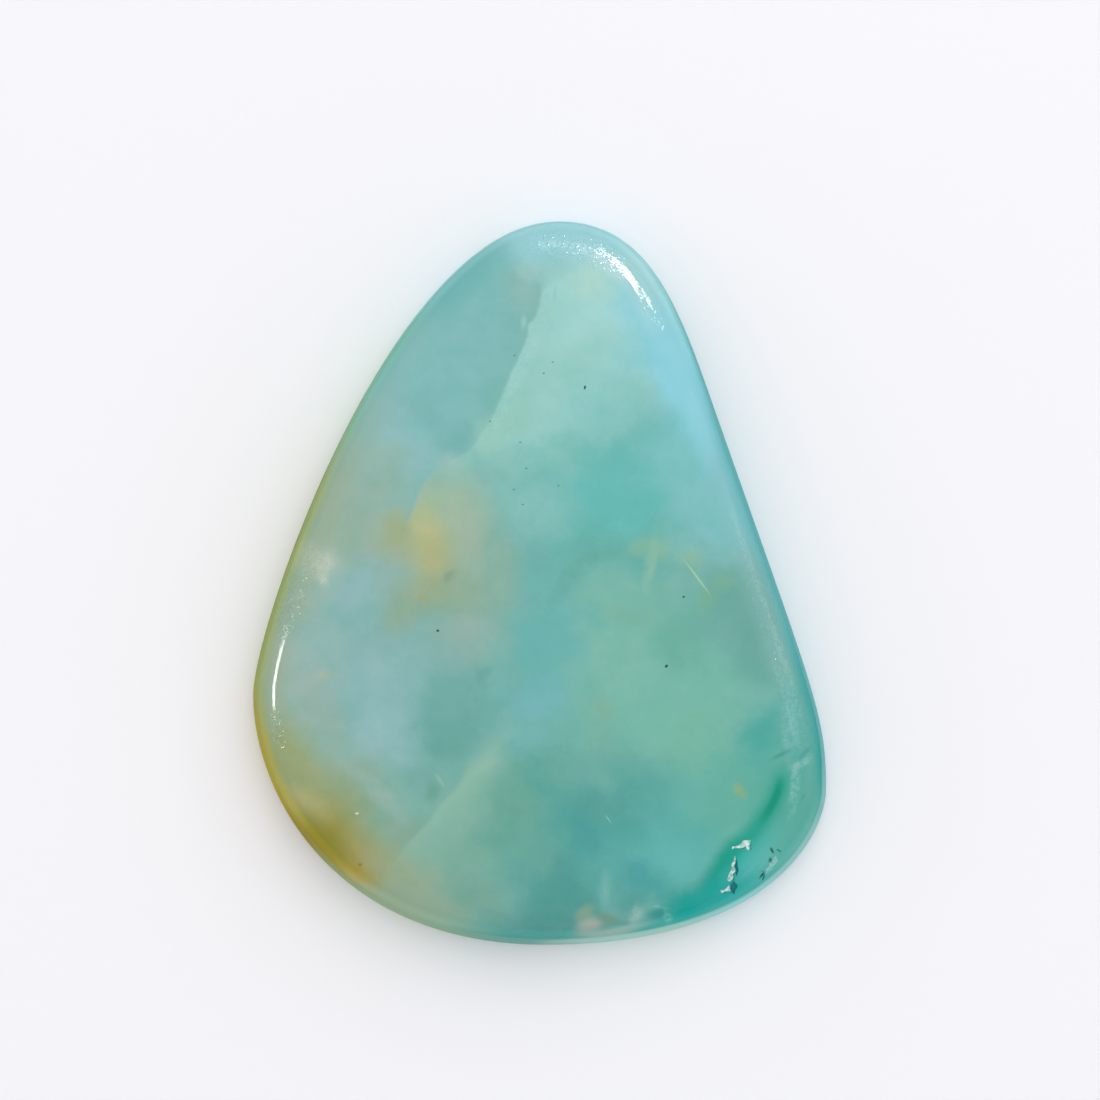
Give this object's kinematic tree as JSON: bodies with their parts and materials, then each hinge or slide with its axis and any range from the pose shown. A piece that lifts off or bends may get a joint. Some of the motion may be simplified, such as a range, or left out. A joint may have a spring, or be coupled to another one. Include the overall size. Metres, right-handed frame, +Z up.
{
  "type": "peruvian opal cabochon",
  "caption": "Polished pear-shaped opal stone with a low domed top, rounded shoulders, a slightly leaning edge and a flat back, cut for a setting or for display.",
  "frame": {"origin": "on the flat back, under the middle of the stone's box", "axes": "+Y towards the narrow tip along the stone's length, +X towards the straighter flank, +Z up through the domed top"},
  "size_m": [0.03, 0.038, 0.005],
  "materials": {
    "opal": "polished to a gloss, slightly translucent, clouded blue-green with yellow stains"
  },
  "bodies": {
    "root": {"opal_cabochon": "opal"}
  },
  "joints": []
}
